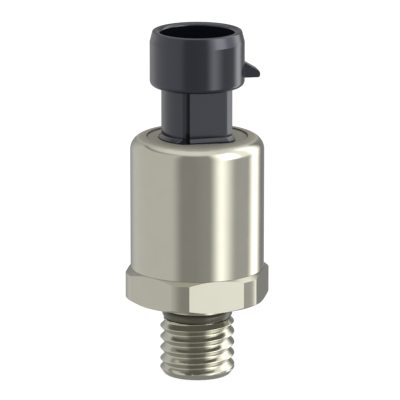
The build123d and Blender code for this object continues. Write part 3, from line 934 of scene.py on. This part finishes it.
def plain_finish(name, colour, roughness, grain_scale, grain_depth, wander, **constants):
    """Plastic, rubber, ceramic, dull metal or another plain stuff, with a grain in millimetres."""
    settings = {
        "Metallic": 0.0,
        "IOR": 1.5,
        "Specular_IOR_Level": 0.5,
        "Coat_Weight": 0.0,
        "Sheen_Weight": 0.0,
    }
    settings.update(constants)
    material, tree, shader = new_material(name, **settings)
    where = place(tree)
    cloud = noise(tree, where, CLOUD_SCALE)
    fine = noise(tree, where, grain_scale, detail=3.0, roughness=0.6)
    share = spread(tree, maths(tree, "ADD", maths(tree, "MULTIPLY", cloud, CLOUD_SHARE),
                               maths(tree, "MULTIPLY", fine, 1 - CLOUD_SHARE)), 0.0, 1.0)
    shade = blend_colours(tree, share, full(colour, 1 - wander), full(colour, 1 + wander))
    tree.links.new(shade, shader.inputs["Base Color"])
    smoother, rougher = CLOUD_ROUGHNESS
    rough = spread(tree, cloud, roughness * smoother, roughness * rougher)
    tree.links.new(rough, shader.inputs["Roughness"])
    add_relief(tree, shader, fine, grain_depth * MM)
    return material


def board_finish(name):
    """Solder mask over copper: a fine grid of tracks shows through the green."""
    material, tree, shader = new_material(
        name, Metallic=0.0, IOR=1.5, Coat_Weight=0.4, Coat_Roughness=0.2, Sheen_Weight=0.0,
    )
    where = place(tree)
    tracks = link_node(tree, "ShaderNodeTexBrick", {
        "Vector": where,
        "Scale": 420.0,
        "Mortar Size": 0.035,
        "Mortar Smooth": 0.1,
        "Color1": full(BOARD_GREEN),
        "Color2": full(BOARD_GREEN, 0.85),
        "Mortar": full(TRACK_GREEN),
    })
    weave = noise(tree, where, WEAVE_SCALE, detail=2.0)
    share = spread(tree, weave, 0.0, 0.25)
    shade = blend_colours(tree, share, tracks.outputs[0], full(BOARD_GREEN))
    tree.links.new(shade, shader.inputs["Base Color"])
    tree.links.new(spread(tree, weave, 0.35, 0.5), shader.inputs["Roughness"])
    add_relief(tree, shader, tracks.outputs[1], TRACK_DEPTH, -1.0)
    return material


def paint(piece, material):
    """Give a piece or a CAD node this one material."""
    piece.data.materials.clear()
    piece.data.materials.append(material)
    for face in piece.data.polygons:
        face.material_index = 0


def build_world():
    """White backdrop whose reflections hold the studio, and plain light for what is matt."""
    world = bpy.data.worlds.new("studio")
    bpy.context.scene.world = world
    world.use_nodes = True
    tree = world.node_tree
    tree.nodes.clear()
    ray = link_node(tree, "ShaderNodeTexCoord").outputs["Generated"]
    faced = link_node(tree, "ShaderNodeVectorRotate", {"Vector": ray, "Angle": -CAMERA_AZIMUTH},
                      rotation_type="Z_AXIS")
    parts = link_node(tree, "ShaderNodeSeparateXYZ", {0: faced.outputs[0]})
    away = maths(tree, "MULTIPLY", parts.outputs[1], -1.0)
    turned = maths(tree, "ARCTAN2", parts.outputs[0], away)
    turned = maths(tree, "MULTIPLY", turned, degrees(1.0))
    raised = maths(tree, "MULTIPLY", maths(tree, "ARCSINE", parts.outputs[2]), degrees(1.0))
    room = WALL_GLOW
    for _, glow, left, right, low, high, climb in LIGHTS:
        height = raised
        if climb:
            height = maths(tree, "SUBTRACT", raised, maths(tree, "MULTIPLY", turned, climb))
        across = between(tree, turned, left, right)
        share = maths(tree, "MULTIPLY", across, between(tree, height, low, high))
        blend = link_node(tree, "ShaderNodeMix", {0: share, 2: room, 3: glow}, data_type="FLOAT")
        room = blend.outputs[0]
    path = link_node(tree, "ShaderNodeLightPath")
    mirrored = path.outputs["Is Glossy Ray"]
    shown = link_node(tree, "ShaderNodeMix", {0: mirrored, 2: 1.0, 3: room}, data_type="FLOAT")
    backdrop = link_node(tree, "ShaderNodeBackground", {0: full(WHITE), 1: shown.outputs[0]})
    plain = link_node(tree, "ShaderNodeBackground", {0: full(WHITE), 1: PLAIN_LEVEL})
    seen = maths(tree, "ADD", path.outputs["Is Camera Ray"], path.outputs["Is Transmission Ray"])
    seen = maths(tree, "ADD", seen, mirrored, clamp=True)
    mixed = link_node(tree, "ShaderNodeMixShader", {0: seen, 1: plain.outputs[0],
                                                    2: backdrop.outputs[0]})
    link_node(tree, "ShaderNodeOutputWorld", {0: mixed.outputs[0]})


def build_floor():
    """Plain white floor that keeps a faint shadow of the object."""
    half = FLOOR_SIZE / 2
    mesh = bpy.data.meshes.new("floor")
    corners = [(-half, -half, 0), (half, -half, 0), (half, half, 0), (-half, half, 0)]
    mesh.from_pydata(corners, [], [(0, 1, 2, 3)])
    floor = bpy.data.objects.new("floor", mesh)
    bpy.context.scene.collection.objects.link(floor)
    floor.visible_glossy = False
    material = bpy.data.materials.new("floor")
    material.use_nodes = True
    tree = material.node_tree
    tree.nodes.clear()
    shown = link_node(tree, "ShaderNodeBsdfDiffuse", {0: full(WHITE, FLOOR_SHADOW_SHARE)})
    glow = link_node(tree, "ShaderNodeEmission", {0: full(WHITE), 1: FLOOR_GLOW})
    both = link_node(tree, "ShaderNodeAddShader", {0: shown.outputs[0], 1: glow.outputs[0]})
    matt = link_node(tree, "ShaderNodeBsdfDiffuse", {0: full(WHITE, FLOOR_ALBEDO)})
    camera = link_node(tree, "ShaderNodeLightPath").outputs["Is Camera Ray"]
    mixed = link_node(tree, "ShaderNodeMixShader", {0: camera, 1: matt.outputs[0],
                                                    2: both.outputs[0]})
    link_node(tree, "ShaderNodeOutputMaterial", {0: mixed.outputs[0]})
    mesh.materials.append(material)


def build_camera():
    """Camera at the photograph's angle, looking at the axis of the object."""
    data = bpy.data.cameras.new("camera")
    data.lens = CAMERA_LENS
    data.sensor_width = CAMERA_SENSOR
    data.clip_start = CAMERA_NEAR
    data.clip_end = CAMERA_FAR
    camera = bpy.data.objects.new("camera", data)
    bpy.context.scene.collection.objects.link(camera)
    right = Vector((cos(CAMERA_AZIMUTH), sin(CAMERA_AZIMUTH), 0))
    outward = Vector((
        sin(CAMERA_AZIMUTH) * cos(CAMERA_ELEVATION),
        -cos(CAMERA_AZIMUTH) * cos(CAMERA_ELEVATION),
        sin(CAMERA_ELEVATION),
    ))
    target = Vector((0, 0, LOOK_HEIGHT)) + right * LOOK_RIGHT
    camera.location = target + outward * CAMERA_DISTANCE
    camera.rotation_euler = outward.to_track_quat("Z", "Y").to_euler()
    bpy.context.scene.camera = camera


def build_materials():
    """Every finish by the name of its material slot."""
    finishes = {
        "stainless_steel": steel(
            "stainless_steel", roughness=0.14, line_scale=5200.0, line_depth=0.0006 * MM
        ),
        "can_steel": steel(
            "can_steel", roughness=0.1, line_scale=2600.0, line_depth=0.0002 * MM, land=True
        ),
        "socket_plastic": plain_finish(
            "socket_plastic", SOCKET_BLACK, roughness=0.15, grain_scale=5200.0,
            grain_depth=0.0012, wander=0.06, IOR=1.6, Specular_Tint=full(SOCKET_SHEEN),
        ),
        "board_green": board_finish("board_green"),
    }
    for name, (*values, metal) in FINISHES.items():
        finishes[name] = plain_finish(name, *values, Metallic=metal)
    return finishes


def dress():
    """Replace the four outer nodes by finer pieces and paint the rest."""
    finishes = build_materials()
    pieces = {
        "process_port": (build_port(), "stainless_steel"),
        "housing_can": (build_can(), "can_steel"),
        "connector_body": (build_socket(), "socket_plastic"),
        "stud_o_ring": (build_ring(), "olive_rubber"),
    }
    for node, (piece, finish) in pieces.items():
        paint(piece, finishes[finish])
        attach(piece, "root")
        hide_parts(node)
    for node, finish in NODE_FINISHES.items():
        paint(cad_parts[node], finishes[finish])


dress()
build_world()
build_floor()
build_camera()
bpy.context.scene.view_settings.view_transform = "Standard"
